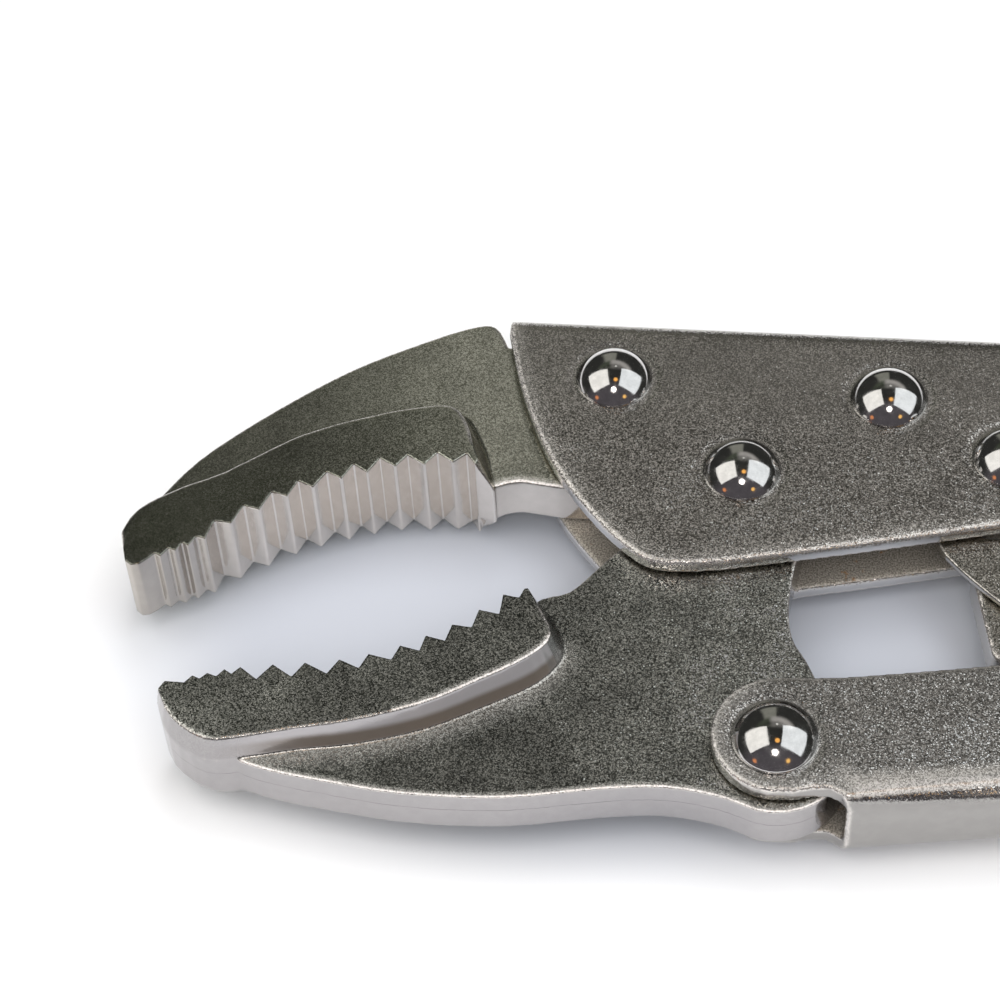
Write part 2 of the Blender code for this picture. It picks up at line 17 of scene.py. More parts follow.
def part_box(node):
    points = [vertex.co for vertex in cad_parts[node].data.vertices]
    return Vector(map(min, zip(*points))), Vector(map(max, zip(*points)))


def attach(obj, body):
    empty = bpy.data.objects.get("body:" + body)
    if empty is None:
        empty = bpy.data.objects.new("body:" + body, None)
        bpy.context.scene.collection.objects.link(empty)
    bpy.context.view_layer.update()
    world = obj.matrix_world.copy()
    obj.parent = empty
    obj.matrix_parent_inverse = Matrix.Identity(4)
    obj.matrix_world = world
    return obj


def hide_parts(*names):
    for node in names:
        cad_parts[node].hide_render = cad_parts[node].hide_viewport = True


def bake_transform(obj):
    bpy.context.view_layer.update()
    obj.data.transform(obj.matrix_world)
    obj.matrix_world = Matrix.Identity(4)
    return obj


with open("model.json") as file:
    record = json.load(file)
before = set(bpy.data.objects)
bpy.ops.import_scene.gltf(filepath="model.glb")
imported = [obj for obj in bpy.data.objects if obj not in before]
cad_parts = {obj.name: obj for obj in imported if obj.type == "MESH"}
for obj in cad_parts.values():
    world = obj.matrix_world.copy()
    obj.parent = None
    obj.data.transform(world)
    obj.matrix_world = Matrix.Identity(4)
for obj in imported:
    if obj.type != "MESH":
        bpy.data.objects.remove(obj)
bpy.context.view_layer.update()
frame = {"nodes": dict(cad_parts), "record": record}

MM = 0.001
low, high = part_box("main_pivot_rivet")
PIVOT = (low + high) / 2

# Heights of the flat faces from the mid-plane
SHEET_FACE = 5.7
JAW_PLATE_FACE = 3.2

# Centres of the rivets
RIVETS = {
    "jaw_rivet_front": (-16.3, 13.5),
    "jaw_rivet_rear": (17.4, 12.3),
    "main_pivot_rivet": (0.0, 0.0),
    "spring_anchor_rivet": (32.1, 3.8),
    "handle_pivot_rivet": (5.3, -37.8),
}
INNER_RIVETS = {"link_pivot_rivet": (48.0, -19.0), "lever_pivot_rivet": (84.0, -29.5)}
LINK_PLATE_RIVET = (39.5, -11.5)
RIVET_RADIUS, RIVET_HEIGHT = 4.5, 3.0
EAR_RIVET_RADIUS = 4.75
INNER_RIVET_RADIUS, INNER_RIVET_HEIGHT = 3.95, 2.2
PRESSED_RADIUS, PRESSED_DEPTH = 5.1, 0.14

# Lines along which the jaws' teeth run
UPPER_GRIP = [(-72.2, -18.3), (-69.5, -17.2), (-64.2, -14.8), (-58.2, -9.6),
              (-52.2, -5.8), (-45.8, -3.1), (-39.2, -1.6), (-32.0, -1.4)]
LOWER_GRIP = [(-64.6, -35.0), (-57.5, -33.3), (-51.2, -33.0), (-45.4, -32.1), (-40.1, -30.6),
              (-35.5, -28.4), (-31.2, -25.8), (-28.2, -23.7), (-24.4, -20.5)]

# Screw and knob, about an axis along X at this height
SCREW_Y = 8.0
THREAD_PITCH, THREAD_DEPTH, THREAD_START = 2.0, 0.75, 131.5
GRIP_START, GRIP_END = 168.2, 179.2
KNURL_COUNT, KNURL_DEPTH = 44, 0.378

# Spring, from a hook in the lower jaw to a loop round its rivet
SPRING_HOOK = (3.9, -8.2)
WIRE_RADIUS, COIL_RADIUS, LOOP_RADIUS = 0.5, 1.5, 3.9
COIL_TURNS, TURN_STEPS = 8, 20
WIRE_SIDES = 10

# Painted sheen: how far it reaches from an edge, and how strong it is there
FOOT_REACH, FOOT_STRENGTH = 3.0, 0.64
BORDER_REACH, BORDER_STRENGTH = 2.8, 0.5
BAND_REACH, BAND_STRENGTH = 3.7, 0.78
UPPER_BLOCK_END = -30.5
# Rounding depth at which an edge gets its full worn tone and painted highlight
FULL_ROUNDING_DEPTH = 0.12
OTHER_SIDE = 100.0

# Within this distance of their line the teeth stay sharp, and beyond it edges get rounder
SHARP_REACH, SHARP_FADE = 1.9, 1.6

# Painted shade on the floor round the jaws: where it is centred and how far it reaches
FLOOR_SHADE_CENTER = (-16.0, -18.0)
FLOOR_SHADE_REACH = (58.0, 30.0)


# ---------------------------------------------------------------- mesh helpers

def to_object(name, vertices, faces):
    """A new object from points in millimetres and faces as lists of corners."""
    mesh = bpy.data.meshes.new(name)
    world = np.asarray(vertices, float) * MM + np.array(PIVOT)
    mesh.from_pydata(world.tolist(), [], faces)
    bm = bmesh.new()
    bm.from_mesh(mesh)
    bmesh.ops.recalc_face_normals(bm, faces=bm.faces)
    bm.to_mesh(mesh)
    bm.free()
    made = bpy.data.objects.new(name, mesh)
    bpy.context.scene.collection.objects.link(made)
    return made


def points_of(mesh):
    """The mesh's points, one row each."""
    co = np.empty(len(mesh.vertices) * 3, np.float32)
    mesh.vertices.foreach_get("co", co)
    return co.reshape(-1, 3).astype(float)


def normals_of(mesh):
    normals = np.empty(len(mesh.vertices) * 3, np.float32)
    mesh.vertex_normals.foreach_get("vector", normals)
    return normals.reshape(-1, 3).astype(float)


def point_value(mesh, name, value):
    attribute = mesh.attributes.new(name, 'FLOAT', 'POINT')
    attribute.data.foreach_set("value", value.astype(np.float32))


def evaluated(piece):
    """The piece's mesh with its modifiers applied, as a new mesh."""
    graph = bpy.context.evaluated_depsgraph_get()
    mesh = bpy.data.meshes.new_from_object(piece.evaluated_get(graph), depsgraph=graph)
    piece.modifiers.clear()
    return mesh


def remeshed(node, depth):
    """A CAD node's solid as an even mesh of small squares with its edges kept, in millimetres."""
    source = frame["nodes"][node]
    bm = bmesh.new()
    bm.from_mesh(source.data)
    bmesh.ops.remove_doubles(bm, verts=bm.verts, dist=1e-6)
    bm.transform(Matrix.Scale(1 / MM, 4) @ Matrix.Translation(-PIVOT))
    mesh = bpy.data.meshes.new("even")
    bm.to_mesh(mesh)
    bm.free()
    even = bpy.data.objects.new("even", mesh)
    bpy.context.scene.collection.objects.link(even)
    modifier = even.modifiers.new("even", 'REMESH')
    modifier.mode = 'SHARP'
    modifier.octree_depth = depth
    modifier.scale = 0.95
    modifier.sharpness = 1.0
    modifier.use_remove_disconnected = False
    result = evaluated(even)
    bpy.data.objects.remove(even)
    return result


def relaxed(co, edges, rounds, factor):
    """Points pulled towards their neighbours, which rounds edges and fills inner corners."""
    count = np.maximum(np.bincount(edges.ravel(), minlength=len(co)), 1)
    a, b = edges[:, 0], edges[:, 1]
    for _ in range(rounds):
        mean = np.empty_like(co)
        for axis in range(3):
            total = np.bincount(a, co[b, axis], len(co)) + np.bincount(b, co[a, axis], len(co))
            mean[:, axis] = total / count
        co = co + (mean - co) * factor[:, None]
    return co


def distance_to(curve, co):
    """Distance in the XY plane from points to a polyline."""
    best = np.full(len(co), 1e9)
    for p, q in zip(curve, curve[1:]):
        p, q = np.array(p), np.array(q)
        along = np.clip(((co[:, :2] - p) @ (q - p)) / ((q - p) @ (q - p)), 0, 1)
        best = np.minimum(best, np.linalg.norm(co[:, :2] - p - along[:, None] * (q - p), axis=1))
    return best


def near_walls(co, wall, face, reach, strength, power):
    """For points of a face, how close they are in the XY plane to the walls: strength at a wall,
    falling to 0 at reach. Each side of the tool has its own walls, kept apart by OTHER_SIDE."""
    places = co[wall]
    tree = KDTree(len(places))
    for i, (x, y, z) in enumerate(places):
        tree.insert((x, y, OTHER_SIDE * (z > 0)), i)
    tree.balance()
    value = np.zeros(len(co))
    for i in np.flatnonzero(face):
        x, y, z = co[i]
        distance = tree.find((x, y, OTHER_SIDE * (z > 0)))[2]
        value[i] = strength * max(0.0, 1 - distance / reach) ** power
    return value


def painted_edge_highlights(co, normals, levels, reach=0.75):
    """Painted highlights: thin bright lines along the front edges of the flat faces at these heights."""
    height, flatness = np.abs(co[:, 2]), np.abs(normals[:, 2])
    front = (flatness < 0.5) & (normals[:, 1] < -0.2)
    value = np.zeros(len(co))
    for level in levels:
        off = np.abs(height - level)
        wall = front & (off < 1.4) & (height < level)
        face = (flatness > 0.6) & (off < 0.6)
        value = np.maximum(value, near_walls(co, wall, face, reach, 1.0, 0.5))
    return value


def foot_of_step(co, normals):
    """Painted light: the plate in front of the lower jaw's raised block is lighter, with a bright
    painted line at the foot and painted highlights along the front edges.
    """
    height, flatness = np.abs(co[:, 2]), np.abs(normals[:, 2])
    front = (flatness < 0.5) & (normals[:, 1] < -0.2)
    wall = front & (height > JAW_PLATE_FACE + 0.5) & (height < JAW_PLATE_FACE + 2.0)
    face = (flatness > 0.7) & (height > JAW_PLATE_FACE - 0.7) & (height < JAW_PLATE_FACE + 1.0)
    slope = near_walls(co, wall, face, FOOT_REACH, FOOT_STRENGTH, 1.1)
    line = near_walls(co, wall, face, 0.6, 1.0, 0.6)
    edges = painted_edge_highlights(co, normals, (JAW_PLATE_FACE, height.max()))
    return np.maximum(np.maximum(slope, line), edges)


def throat(co, normals):
    """A painted highlight along the rounded edge of the upper jaw between its block and the handle."""
    return np.where(co[:, 0] > UPPER_BLOCK_END, painted_edge_highlights(co, normals, (JAW_PLATE_FACE,), 1.1), 0)


def border_sheen(co, normals):
    """Painted sheen on the outer faces of a handle, along the edges at the front and towards the hand."""
    height, flatness = np.abs(co[:, 2]), np.abs(normals[:, 2])
    wall = (flatness < 0.5) & ((normals[:, 1] < -0.25) | (normals[:, 0] < -0.6)) & (height > 4.0)
    face = (flatness > 0.8) & (height > SHEET_FACE - 0.5)
    return near_walls(co, wall, face, BORDER_REACH, BORDER_STRENGTH, 1.6)


def ear_sheen(co, normals):
    """The same painted sheen, stronger round the ear of the lower handle, and a smooth band of it along
    its fold.
    """
    height, flatness = np.abs(co[:, 2]), np.abs(normals[:, 2])
    border = border_sheen(co, normals) * np.clip(1.5 - (co[:, 0] - 8) / 20, 1.0, 1.5)
    web = (normals[:, 1] < -0.5) & (height < 4.0)
    face = (flatness > 0.6) & (height > SHEET_FACE - 0.5)
    band = np.minimum(near_walls(co, web, face, BAND_REACH, 1.0, 0.3), BAND_STRENGTH)
    behind_ear = np.clip((co[:, 0] - RIVETS["handle_pivot_rivet"][0] - 5.5) / 3.5, 0, 1)
    return np.maximum(border, band * behind_ear)


def solid_piece(node, body, material, slot, depth=8, rounds=3, grip=None, shape=None, painted_sheen=None, keep=1.0):
    """A piece in place of a CAD node: the same solid, with its edges worn round. The teeth along the
    line grip stay sharp. Its point attributes tell the material how deep each edge was rounded, which
    it lightens as wear and as a painted highlight, and where a given function puts painted sheen and
    painted highlights; shape moves points at the end, and keep is the share of faces kept."""
    mesh = remeshed(node, depth)
    start = points_of(mesh)
    edges = np.empty(len(mesh.edges) * 2, np.int32)
    mesh.edges.foreach_get("vertices", edges)
    edges = edges.reshape(-1, 2)
    factor = np.full(len(start), 0.5)
    if grip:
        near = np.clip((distance_to(grip, start) - SHARP_REACH) / SHARP_FADE, 0, 1)
        factor = 0.06 + 0.44 * near
    co = relaxed(start, edges, rounds, factor)
    mesh.vertices.foreach_set("co", co.astype(np.float32).ravel())
    mesh.update()
    normals = normals_of(mesh)
    # How deep each edge was rounded; the material lightens rounded edges as wear and as a painted highlight
    edge_rounding = np.einsum("ij,ij->i", start - co, normals)
    edge_rounding = relaxed(np.repeat(edge_rounding[:, None], 3, 1), edges, 2, np.full(len(start), 0.5))[:, 0]
    point_value(mesh, "edge_rounding", np.clip(edge_rounding / FULL_ROUNDING_DEPTH, -1, 1))
    if painted_sheen:
        point_value(mesh, "painted_sheen", painted_sheen(start, normals))
    if shape:
        co = shape(co, normals)
    mesh.vertices.foreach_set("co", ((co * MM) + np.array(PIVOT)).astype(np.float32).ravel())
    mesh.update()
    made = bpy.data.objects.new(node + "_worked", mesh)
    bpy.context.scene.collection.objects.link(made)
    if keep < 1:
        modifier = made.modifiers.new("lighter", 'DECIMATE')
        modifier.ratio = keep
        made.data = evaluated(made)
    made.data.shade_smooth()
    return finish_piece(made, body, material, slot, node)


def finish_piece(made, body, material, slot, *nodes):
    """Gives a piece its material, its body and the CAD nodes it replaces."""
    made.data.materials.clear()
    made.data.materials.append(material)
    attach(made, body)
    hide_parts(*nodes)
    return made


def turned(name, profile, segments, center=(0.0, 0.0), along_x=False, radial=None):
    """A solid turned about Z (or about the screw's axis) from (radius, height) points, axis to axis.
    radial changes a radius, given (radius, height, angle)."""
    vertices, rings = [], []
    for radius, height in profile:
        count = 1 if radius == 0 else segments
        ring = []
        for i in range(count):
            angle = math.tau * i / segments
            r = radial(radius, height, angle) if radial and radius else radius
            x, y, z = r * math.cos(angle), r * math.sin(angle), height
            if along_x:
                point = (z, SCREW_Y + x, y)
            else:
                point = (center[0] + x, center[1] + y, z)
            ring.append(len(vertices))
            vertices.append(point)
        rings.append(ring)
    faces = []
    for lower, upper in zip(rings, rings[1:]):
        for i in range(segments):
            j = (i + 1) % segments
            corners = [lower[i % len(lower)], lower[j % len(lower)],
                       upper[j % len(upper)], upper[i % len(upper)]]
            faces.append(list(dict.fromkeys(corners)))
    made = to_object(name, vertices, faces)
    made.data.shade_smooth()
    return made


# ---------------------------------------------------------------- materials

GRAINS_PER_MM = 8.0
FACE_ROUGHNESS, WALL_ROUGHNESS = 0.22, 0.15
# Tones for edges both worn and given a painted highlight, for painted sheen and for painted highlight beads
WEAR_AND_HIGHLIGHT_TONE = (0.86, 0.82, 0.78)
PAINTED_SHEEN_TONE = (0.66, 0.63, 0.585)
PAINTED_HIGHLIGHT_TONE = (0.95, 0.89, 0.86)
PARTING_TONE = (0.20, 0.19, 0.19)
RUST_TONE = (0.42, 0.20, 0.06)


def add(tree, kind, sockets=(), **settings):
    """A shader node. sockets maps an input's name or number to a value or to another node's output."""
    made = tree.nodes.new(kind)
    for key, value in settings.items():
        setattr(made, key, value)
    for key, value in dict(sockets).items():
        if isinstance(value, bpy.types.NodeSocket):
            tree.links.new(value, made.inputs[key])
        else:
            made.inputs[key].default_value = value
    return made


def ramp(tree, value, start, end, first=0.0, last=1.0):
    """A smooth change from first to last, as the value goes from start to end."""
    return add(tree, 'ShaderNodeMapRange', {0: value, 1: start, 2: end, 3: first, 4: last},
               interpolation_type='SMOOTHSTEP').outputs[0]


def mixed(tree, share, first, second, blend='MIX'):
    made = add(tree, 'ShaderNodeMix', {0: share}, data_type='RGBA', blend_type=blend)
    for socket, value in ((6, first), (7, second)):
        if isinstance(value, bpy.types.NodeSocket):
            tree.links.new(value, made.inputs[socket])
        else:
            made.inputs[socket].default_value = (*value, 1.0)
    return made.outputs[2]


def mixed_value(tree, share, first, second):
    return add(tree, 'ShaderNodeMix', {0: share, 2: first, 3: second}, data_type='FLOAT').outputs[0]


def grey(tree, tone):
    return add(tree, 'ShaderNodeCombineColor', {0: tone, 1: tone, 2: tone}).outputs[0]


def maths(tree, operation, a, b=0.0):
    return add(tree, 'ShaderNodeMath', {0: a, 1: b}, operation=operation).outputs[0]


def noise(tree, scaled, scale, detail, roughness=0.5):
    return add(tree, 'ShaderNodeTexNoise', {"Vector": scaled, "Scale": scale, "Detail": detail,
                                            "Roughness": roughness}).outputs["Fac"]


def leaning_grains(tree, cells, share):
    """Each grain of the plating leans its own way, so it mirrors its own bit of the room. A few lean
    more than the rest and glitter."""
    lean = add(tree, 'ShaderNodeVectorMath', {0: cells.outputs["Color"], 1: (0.5, 0.5, 0.5)},
               operation='SUBTRACT')
    few = add(tree, 'ShaderNodeSeparateColor', {0: cells.outputs["Color"]}).outputs[2]
    share = maths(tree, 'MULTIPLY', share, ramp(tree, few, 0.80, 0.98, 1.0, 2.2))
    lean = add(tree, 'ShaderNodeVectorMath', {0: lean.outputs[0], "Scale": share}, operation='SCALE')
    surface = add(tree, 'ShaderNodeNewGeometry').outputs["Normal"]
    normal = add(tree, 'ShaderNodeVectorMath', {0: surface, 1: lean.outputs[0]}, operation='ADD')
    return add(tree, 'ShaderNodeVectorMath', {0: normal.outputs[0]}, operation='NORMALIZE').outputs[0]


def new_material(name):
    """A material, with its shader and its coordinates in millimetres in the object's own space."""
    material = bpy.data.materials.new(name)
    material.use_nodes = True
    tree = material.node_tree
    place = add(tree, 'ShaderNodeTexCoord')
    scaled = add(tree, 'ShaderNodeMapping', {0: place.outputs["Object"], 3: (1 / MM, 1 / MM, 1 / MM)})
    return material, tree, tree.nodes["Principled BSDF"], scaled.outputs[0]


def plated(name, light, dark, wall, tilt=0.26, patchy=0.10, shade=None, wall_shade=None, smooth=None,
           line=None, sunk=None):
    """Nickel plate: speckled where the face is flat, smooth on the sheared and machined walls, its
    rounded edges lightened as wear and as a painted highlight, with painted sheen and painted
    highlights where its piece marks them. light and dark are the tones of the grains, and tilt is
    how far they lean. Functions add what one piece has: shade and wall_shade paint shade on parts of
    its faces and walls, smooth evens out the speckle, line draws the parting line, and sunk gives the
    duller parts."""
    material, tree, shader, scaled = new_material(name)
    facing = add(tree, 'ShaderNodeSeparateXYZ', {0: add(tree, 'ShaderNodeTexCoord').outputs["Normal"]})
    upright = maths(tree, 'ABSOLUTE', facing.outputs[2])
    flat = ramp(tree, upright, 0.25, 0.85)
    broad = noise(tree, scaled, 0.16, 3.0)
    patch = noise(tree, scaled, 0.7, 2.0, 0.6)
    cells = add(tree, 'ShaderNodeTexVoronoi', {"Vector": scaled, "Scale": GRAINS_PER_MM}, feature='F1')
    grit = add(tree, 'ShaderNodeSeparateColor', {0: cells.outputs["Color"]}).outputs[0]
    speck = maths(tree, 'POWER', ramp(tree, grit, 0.05, 0.95), 1.2)
    if smooth:
        speck = mixed_value(tree, smooth(tree, scaled), speck, 0.46)
    face = mixed(tree, speck, dark, light)
    # Random patches of tone, times the painted shade a piece gives
    tone = ramp(tree, broad, 0.3, 0.7, 1 - patchy, 1 + patchy)
    if shade:
        tone = maths(tree, 'MULTIPLY', tone, shade(tree, scaled))
    face = mixed(tree, 1.0, face, grey(tree, tone), 'MULTIPLY')
    side = mixed(tree, ramp(tree, patch, 0.3, 0.7), [c * 0.97 for c in wall], [c * 1.03 for c in wall])
    # Painted shade on the walls, where a piece gives it
    if wall_shade:
        side = mixed(tree, 1.0, side, grey(tree, wall_shade(tree, scaled)), 'MULTIPLY')
    color = mixed(tree, flat, side, face)
    # Rounded edges get a lighter tone, partly wear and partly a painted highlight
    edge_rounding = add(tree, 'ShaderNodeAttribute', attribute_name="edge_rounding").outputs["Fac"]
    edge = ramp(tree, edge_rounding, 0.12, 0.7)
    broken = maths(tree, 'MULTIPLY', edge, ramp(tree, grit, 0.1, 0.6, 0.3, 0.9))
    color = mixed(tree, broken, color, WEAR_AND_HIGHLIGHT_TONE)
    # Painted sheen near the edges that the piece marks
    near = add(tree, 'ShaderNodeAttribute', attribute_name="painted_sheen").outputs["Fac"]
    painted_sheen = maths(tree, 'MULTIPLY', near, ramp(tree, grit, 0.0, 0.8, 0.55, 1.0))
    color = mixed(tree, painted_sheen, color, PAINTED_SHEEN_TONE)
    # Painted highlight beads where the painted sheen is strongest
    painted_highlight = maths(tree, 'MULTIPLY', ramp(tree, near, 0.72, 0.92), ramp(tree, grit, 0.0, 0.6, 0.5, 1.0))
    color = mixed(tree, painted_highlight, color, PAINTED_HIGHLIGHT_TONE)
    # Painted sheen, painted highlights and worn edges are made less metallic, so the lamps light them
    sheen_and_wear_share = maths(tree, 'ADD', maths(tree, 'MULTIPLY', painted_sheen, 0.55), maths(tree, 'MULTIPLY', broken, 0.25))
    sheen_and_wear_share = maths(tree, 'ADD', sheen_and_wear_share, maths(tree, 'MULTIPLY', painted_highlight, 0.3))
    metallic = maths(tree, 'MAXIMUM', maths(tree, 'SUBTRACT', 1.0, sheen_and_wear_share), 0.15)
    if line:
        color = mixed(tree, line(tree, scaled, facing, patch), color, PARTING_TONE)
    # On a handle's inner faces the sunk colour is their own, on the lower jaw's step wall it is a painted
    # reflection
    if sunk:
        share, dull, gloss = sunk(tree, scaled, facing)
        color = mixed(tree, share, color, dull)
        metallic = maths(tree, 'MULTIPLY', metallic, ramp(tree, share, 0.0, 1.0, 1.0, gloss))
    tree.links.new(color, shader.inputs["Base Color"])
    tree.links.new(metallic, shader.inputs["Metallic"])
    roughness = ramp(tree, flat, 0.0, 1.0, WALL_ROUGHNESS, FACE_ROUGHNESS)
    roughness = maths(tree, 'ADD', roughness, ramp(tree, patch, 0.3, 0.7, -0.02, 0.03))
    tree.links.new(roughness, shader.inputs["Roughness"])
    share = maths(tree, 'MAXIMUM', ramp(tree, flat, 0.0, 1.0, tilt * 0.05, tilt),
                  maths(tree, 'MULTIPLY', edge, tilt * 1.3))
    share = maths(tree, 'MULTIPLY', share, ramp(tree, near, 0.4, 0.75, 1.0, 0.2))
    relief = add(tree, 'ShaderNodeBump', {"Strength": 0.06, "Distance": 0.00008, "Height": patch,
                                          "Normal": leaning_grains(tree, cells, share)})
    tree.links.new(relief.outputs[0], shader.inputs["Normal"])
    return material


def bright(name, color, rough, bump):
    """Polished or turned metal with faint marks."""
    material, tree, shader, scaled = new_material(name)
    haze = noise(tree, scaled, 0.9, 4.0, 0.6)
    marks = noise(tree, scaled, 5.0, 2.0)
    tone = ramp(tree, haze, 0.3, 0.7)
    color_out = mixed(tree, tone, [c * 0.88 for c in color], [min(c * 1.05, 1) for c in color])
    tree.links.new(color_out, shader.inputs["Base Color"])
    shader.inputs["Metallic"].default_value = 1.0
    roughness = ramp(tree, haze, 0.35, 0.7, rough * 0.6, rough * 1.5)
    tree.links.new(roughness, shader.inputs["Roughness"])
    relief = add(tree, 'ShaderNodeBump', {"Strength": bump, "Distance": 0.00002, "Height": marks})
    tree.links.new(relief.outputs[0], shader.inputs["Normal"])
    return material


def from_pivot(tree, scaled):
    pivot = [c / MM for c in PIVOT]
    return add(tree, 'ShaderNodeVectorMath', {0: scaled, 1: pivot}, operation='SUBTRACT').outputs[0]


def along(tree, scaled, direction, start, end, first, last):
    """A tone that changes along a direction, between two distances from the pivot, in millimetres."""
    reach = add(tree, 'ShaderNodeVectorMath', {0: from_pivot(tree, scaled), 1: direction},
                operation='DOT_PRODUCT').outputs["Value"]
    return ramp(tree, reach, start, end, first, last)


def upper_jaw_shade(tree, scaled):
    """Painted shade: the block's face is darker than the plate, and both get darker towards the tip."""
    block = along(tree, scaled, (0, 0, 1), 3.6, 4.6, 1.0, 0.82)
    tip = along(tree, scaled, (1, 0, 0), -56.0, -34.0, 0.56, 1.0)
    return maths(tree, 'MULTIPLY', block, tip)


def upper_jaw_wall(tree, scaled):
    """Painted shade: the teeth at the tip are darker."""
    return along(tree, scaled, (1, 0, 0), -67.0, -57.0, 0.62, 1.0)


def upper_jaw_smooth(tree, scaled):
    """The jaw's face is smoother at its tip."""
    return along(tree, scaled, (1, 0, 0), -66.0, -34.0, 0.85, 0.25)


def lower_jaw_shade(tree, scaled):
    """Painted shade and light: the lower jaw's face is darkest in its middle and lighter again towards
    its root.
    """
    tip = along(tree, scaled, (1, 0, 0), -60.0, -30.0, 0.92, 0.64)
    root = along(tree, scaled, (1, 0, 0), -26.0, 2.0, 1.0, 1.6)
    return maths(tree, 'MULTIPLY', tip, root)


def parting_line(tree, scaled, facing, patch):
    """A thin dark line half way up the outer edge of the lower jaw, where the forging dies met."""
    height = add(tree, 'ShaderNodeSeparateXYZ', {0: from_pivot(tree, scaled)}).outputs[2]
    wander = ramp(tree, patch, 0.2, 0.8, -0.55, -0.35)
    off = maths(tree, 'ABSOLUTE', maths(tree, 'ADD', height, wander))
    thin = ramp(tree, off, 0.03, 0.10, 1.0, 0.0)
    outer = ramp(tree, facing.outputs[1], -0.75, -0.45, 1.0, 0.0)
    broken = ramp(tree, patch, 0.35, 0.6, 0.25, 0.7)
    return maths(tree, 'MULTIPLY', maths(tree, 'MULTIPLY', thin, outer), broken)


def inside_sheet(tree, scaled, facing):
    """The inner faces between the two sides of a handle are duller and browner."""
    flat = ramp(tree, maths(tree, 'ABSOLUTE', facing.outputs[2]), 0.5, 0.9)
    between = along(tree, scaled, (0, 0, 1), 4.6, 5.2, 1.0, 0.0)
    under = along(tree, scaled, (0, 0, 1), -5.5, -5.0, 0.0, 1.0)
    share = maths(tree, 'MULTIPLY', flat, maths(tree, 'MULTIPLY', between, under))
    fleck = ramp(tree, noise(tree, scaled, 5.0, 1.0), 0.3, 0.7)
    dull = mixed(tree, fleck, (0.20, 0.18, 0.15), (0.52, 0.48, 0.42))
    stain = ramp(tree, noise(tree, scaled, 0.5, 4.0, 0.7), 0.62, 0.72, 0.0, 0.6)
    return share, mixed(tree, stain, dull, RUST_TONE), 0.25


def step_wall(tree, scaled, facing):
    """The wall of the raised block, duller, with a painted reflection for its colour: lilac grey above,
    and a dark brown band along its foot.
    """
    turned_out = ramp(tree, facing.outputs[1], -0.65, -0.35, 1.0, 0.0)
    upright = ramp(tree, maths(tree, 'ABSOLUTE', facing.outputs[2]), 0.4, 0.7, 1.0, 0.0)
    raised = along(tree, scaled, (0, 0, 1), 3.2, 3.6, 0.0, 1.0)
    inner = along(tree, scaled, (1, 0, 0), -62.0, -48.0, 0.0, 0.9)
    share = maths(tree, 'MULTIPLY', maths(tree, 'MULTIPLY', turned_out, upright),
                  maths(tree, 'MULTIPLY', raised, inner))
    band = along(tree, scaled, (0, 0, 1), 4.6, 5.5, 1.0, 0.0)
    wide = along(tree, scaled, (1, 0, 0), -60.0, -45.0, 0.3, 1.0)
    brown = maths(tree, 'MULTIPLY', band, wide)
    return share, mixed(tree, brown, (0.50, 0.485, 0.50), (0.20, 0.165, 0.135)), 0.35


def towards_back(tree, scaled):
    """The upper handle's face is smoother towards its back."""
    return along(tree, scaled, (0, 1, 0), 2.0, 15.0, 0.0, 0.6)


sheet = plated("plated_sheet", (1.0, 0.97, 0.93), (0.15, 0.14, 0.125), (0.60, 0.59, 0.58),
               smooth=towards_back, sunk=inside_sheet)
lower_sheet = plated("lower_sheet", (1.0, 0.98, 0.95), (0.26, 0.25, 0.24), (0.345, 0.335, 0.325),
                     tilt=0.29, sunk=inside_sheet)
upper_forged = plated("upper_jaw_plate", (0.93, 0.95, 0.84), (0.38, 0.38, 0.31), (0.775, 0.72, 0.66),
                      tilt=0.12, shade=upper_jaw_shade, wall_shade=upper_jaw_wall, smooth=upper_jaw_smooth)
lower_forged = plated("lower_jaw_plate", (0.96, 0.97, 0.91), (0.13, 0.135, 0.125), (0.40, 0.385, 0.39),
                      tilt=0.28, patchy=0.2, shade=lower_jaw_shade, line=parting_line, sunk=step_wall)
stamped = plated("stamped_plate", (0.85, 0.82, 0.76), (0.25, 0.24, 0.21), (0.50, 0.48, 0.45))
polished = bright("polished_rivet", (0.80, 0.79, 0.78), 0.10, bump=0.04)
turned_metal = bright("turned_screw", (0.62, 0.61, 0.59), 0.20, bump=0.15)
wire = bright("spring_wire", (0.50, 0.49, 0.47), 0.22, bump=0.12)


# ---------------------------------------------------------------- jaws, handles and link

FAR_RISE = 1.25


def pressed_rings(co, normals):
    """The sheet is pressed in round each rivet head."""
    out = co.copy()
    for x, y in RIVETS.values():
        r = np.hypot(co[:, 0] - x, co[:, 1] - y)
        face = (np.abs(normals[:, 2]) > 0.8) & (np.abs(co[:, 2]) > 5.0)
        depth = PRESSED_DEPTH * np.exp(-((r - PRESSED_RADIUS) / 0.4) ** 2)
        out[:, 2] -= np.where(face, np.sign(co[:, 2]) * depth, 0)
    return out


def far_belly(co, normals):
    """The far side of the upper handle stops a little short of the near one, above the window. place
    counts half millimetres along the handle, and lowest is the belly's edge there."""
    out = pressed_rings(co, normals)
    far = co[:, 2] < -3.0
    place = np.clip(((co[:, 0] + 20) / 0.5).astype(int), 0, 400)
    lowest = np.full(401, 1e9)
    np.minimum.at(lowest, place[far], co[far, 1])
    rise = np.clip((co[:, 0] - 1) / 7, 0, 1) * np.clip((44 - co[:, 0]) / 8, 0, 1)
    near = np.clip(1 - (co[:, 1] - lowest[place]) / 9.0, 0, 1)
    out[:, 1] += np.where(far, FAR_RISE * rise * near, 0)
    return out


